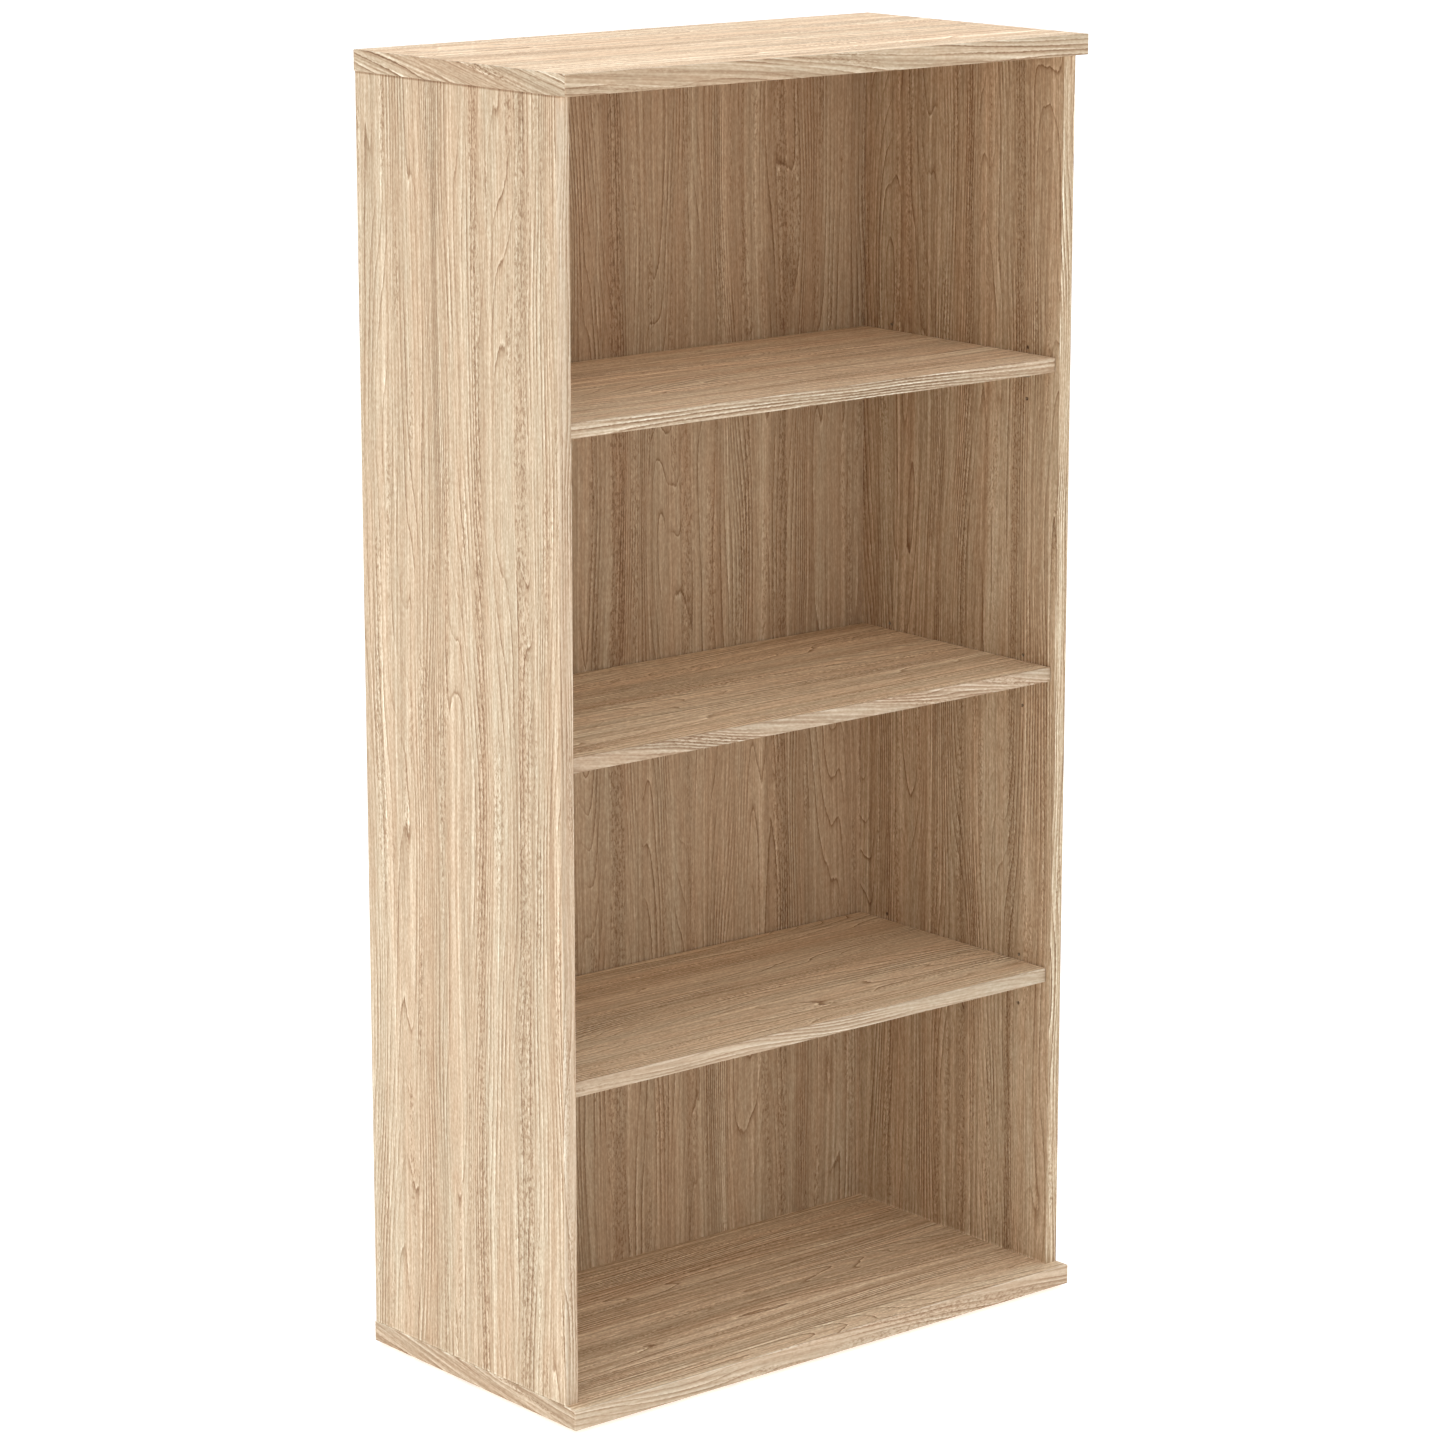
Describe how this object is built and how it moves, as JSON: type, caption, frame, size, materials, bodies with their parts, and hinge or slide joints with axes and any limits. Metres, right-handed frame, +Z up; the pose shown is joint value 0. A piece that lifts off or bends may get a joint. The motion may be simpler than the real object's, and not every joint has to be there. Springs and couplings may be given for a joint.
{
  "type": "bookcase",
  "caption": "Tall open bookcase in light oak board, with thick top and base, full back, loose level shelves on plug-in supports, and levelling feet.",
  "frame": {"origin": "centre of the bookcase's outline, on the floor, at the underside of the feet", "axes": "+Z up; -Y is the open front; +X is to the right for a person facing the front"},
  "size_m": [0.8, 0.4, 1.592],
  "materials": {
    "oak_board": "matt light oak melamine on chipboard",
    "oak_edge_band": "matt light oak plastic edge strip",
    "oak_cap": "matt light oak press-in cap",
    "beech_dowel": "fluted beech",
    "zinc": "die-cast zinc",
    "nickel_steel": "nickel-plated steel",
    "black_plastic": "black nylon",
    "steel_stud": "zinc-plated steel"
  },
  "bodies": {
    "case": {"top_panel": "oak_board", "top_edge_bands": "oak_edge_band", "base_panel": "oak_board", "base_edge_bands": "oak_edge_band", "back_panel": "oak_board", "left_side_panel": "oak_board", "left_side_edge_bands": "oak_edge_band", "right_side_panel": "oak_board", "right_side_edge_bands": "oak_edge_band", "side_dowels": "beech_dowel", "back_dowels": "beech_dowel", "cam_locks": "zinc", "cam_bolts": "zinc", "cam_cover_caps": "oak_cap", "foot_inserts": "zinc"},
    "upper_shelf_body": {"upper_shelf": "oak_board", "upper_shelf_edge_band": "oak_edge_band"},
    "middle_shelf_body": {"middle_shelf": "oak_board", "middle_shelf_edge_band": "oak_edge_band"},
    "lower_shelf_body": {"lower_shelf": "oak_board", "lower_shelf_edge_band": "oak_edge_band"},
    "upper_front_left_shelf_support_body": {"upper_front_left_shelf_support": "nickel_steel"},
    "upper_front_right_shelf_support_body": {"upper_front_right_shelf_support": "nickel_steel"},
    "upper_rear_left_shelf_support_body": {"upper_rear_left_shelf_support": "nickel_steel"},
    "upper_rear_right_shelf_support_body": {"upper_rear_right_shelf_support": "nickel_steel"},
    "middle_front_left_shelf_support_body": {"middle_front_left_shelf_support": "nickel_steel"},
    "middle_front_right_shelf_support_body": {"middle_front_right_shelf_support": "nickel_steel"},
    "middle_rear_left_shelf_support_body": {"middle_rear_left_shelf_support": "nickel_steel"},
    "middle_rear_right_shelf_support_body": {"middle_rear_right_shelf_support": "nickel_steel"},
    "lower_front_left_shelf_support_body": {"lower_front_left_shelf_support": "nickel_steel"},
    "lower_front_right_shelf_support_body": {"lower_front_right_shelf_support": "nickel_steel"},
    "lower_rear_left_shelf_support_body": {"lower_rear_left_shelf_support": "nickel_steel"},
    "lower_rear_right_shelf_support_body": {"lower_rear_right_shelf_support": "nickel_steel"},
    "front_left_foot": {"front_left_foot_pad": "black_plastic", "front_left_foot_stud": "steel_stud"},
    "front_right_foot": {"front_right_foot_pad": "black_plastic", "front_right_foot_stud": "steel_stud"},
    "rear_left_foot": {"rear_left_foot_pad": "black_plastic", "rear_left_foot_stud": "steel_stud"},
    "rear_right_foot": {"rear_right_foot_pad": "black_plastic", "rear_right_foot_stud": "steel_stud"}
  },
  "joints": [
    {"name": "upper_shelf_lift", "type": "slide", "parent": "case", "child": "upper_shelf_body", "axis": [0, 0, 1], "range_m": [0, 0.365]},
    {"name": "middle_shelf_lift", "type": "slide", "parent": "case", "child": "middle_shelf_body", "axis": [0, 0, 1], "range_m": [0, 0.35]},
    {"name": "lower_shelf_lift", "type": "slide", "parent": "case", "child": "lower_shelf_body", "axis": [0, 0, 1], "range_m": [0, 0.35]},
    {"name": "upper_front_left_shelf_support_pull", "type": "slide", "parent": "case", "child": "upper_front_left_shelf_support_body", "axis": [1, 0, 0], "range_m": [0, 0.0105]},
    {"name": "upper_front_right_shelf_support_pull", "type": "slide", "parent": "case", "child": "upper_front_right_shelf_support_body", "axis": [-1, 0, 0], "range_m": [0, 0.0105]},
    {"name": "upper_rear_left_shelf_support_pull", "type": "slide", "parent": "case", "child": "upper_rear_left_shelf_support_body", "axis": [1, 0, 0], "range_m": [0, 0.0105]},
    {"name": "upper_rear_right_shelf_support_pull", "type": "slide", "parent": "case", "child": "upper_rear_right_shelf_support_body", "axis": [-1, 0, 0], "range_m": [0, 0.0105]},
    {"name": "middle_front_left_shelf_support_pull", "type": "slide", "parent": "case", "child": "middle_front_left_shelf_support_body", "axis": [1, 0, 0], "range_m": [0, 0.0105]},
    {"name": "middle_front_right_shelf_support_pull", "type": "slide", "parent": "case", "child": "middle_front_right_shelf_support_body", "axis": [-1, 0, 0], "range_m": [0, 0.0105]},
    {"name": "middle_rear_left_shelf_support_pull", "type": "slide", "parent": "case", "child": "middle_rear_left_shelf_support_body", "axis": [1, 0, 0], "range_m": [0, 0.0105]},
    {"name": "middle_rear_right_shelf_support_pull", "type": "slide", "parent": "case", "child": "middle_rear_right_shelf_support_body", "axis": [-1, 0, 0], "range_m": [0, 0.0105]},
    {"name": "lower_front_left_shelf_support_pull", "type": "slide", "parent": "case", "child": "lower_front_left_shelf_support_body", "axis": [1, 0, 0], "range_m": [0, 0.0105]},
    {"name": "lower_front_right_shelf_support_pull", "type": "slide", "parent": "case", "child": "lower_front_right_shelf_support_body", "axis": [-1, 0, 0], "range_m": [0, 0.0105]},
    {"name": "lower_rear_left_shelf_support_pull", "type": "slide", "parent": "case", "child": "lower_rear_left_shelf_support_body", "axis": [1, 0, 0], "range_m": [0, 0.0105]},
    {"name": "lower_rear_right_shelf_support_pull", "type": "slide", "parent": "case", "child": "lower_rear_right_shelf_support_body", "axis": [-1, 0, 0], "range_m": [0, 0.0105]},
    {"name": "front_left_foot_screw", "type": "slide", "parent": "case", "child": "front_left_foot", "axis": [0, 0, -1], "range_m": [0, 0.01]},
    {"name": "front_right_foot_screw", "type": "slide", "parent": "case", "child": "front_right_foot", "axis": [0, 0, -1], "range_m": [0, 0.01]},
    {"name": "rear_left_foot_screw", "type": "slide", "parent": "case", "child": "rear_left_foot", "axis": [0, 0, -1], "range_m": [0, 0.01]},
    {"name": "rear_right_foot_screw", "type": "slide", "parent": "case", "child": "rear_right_foot", "axis": [0, 0, -1], "range_m": [0, 0.01]}
  ]
}
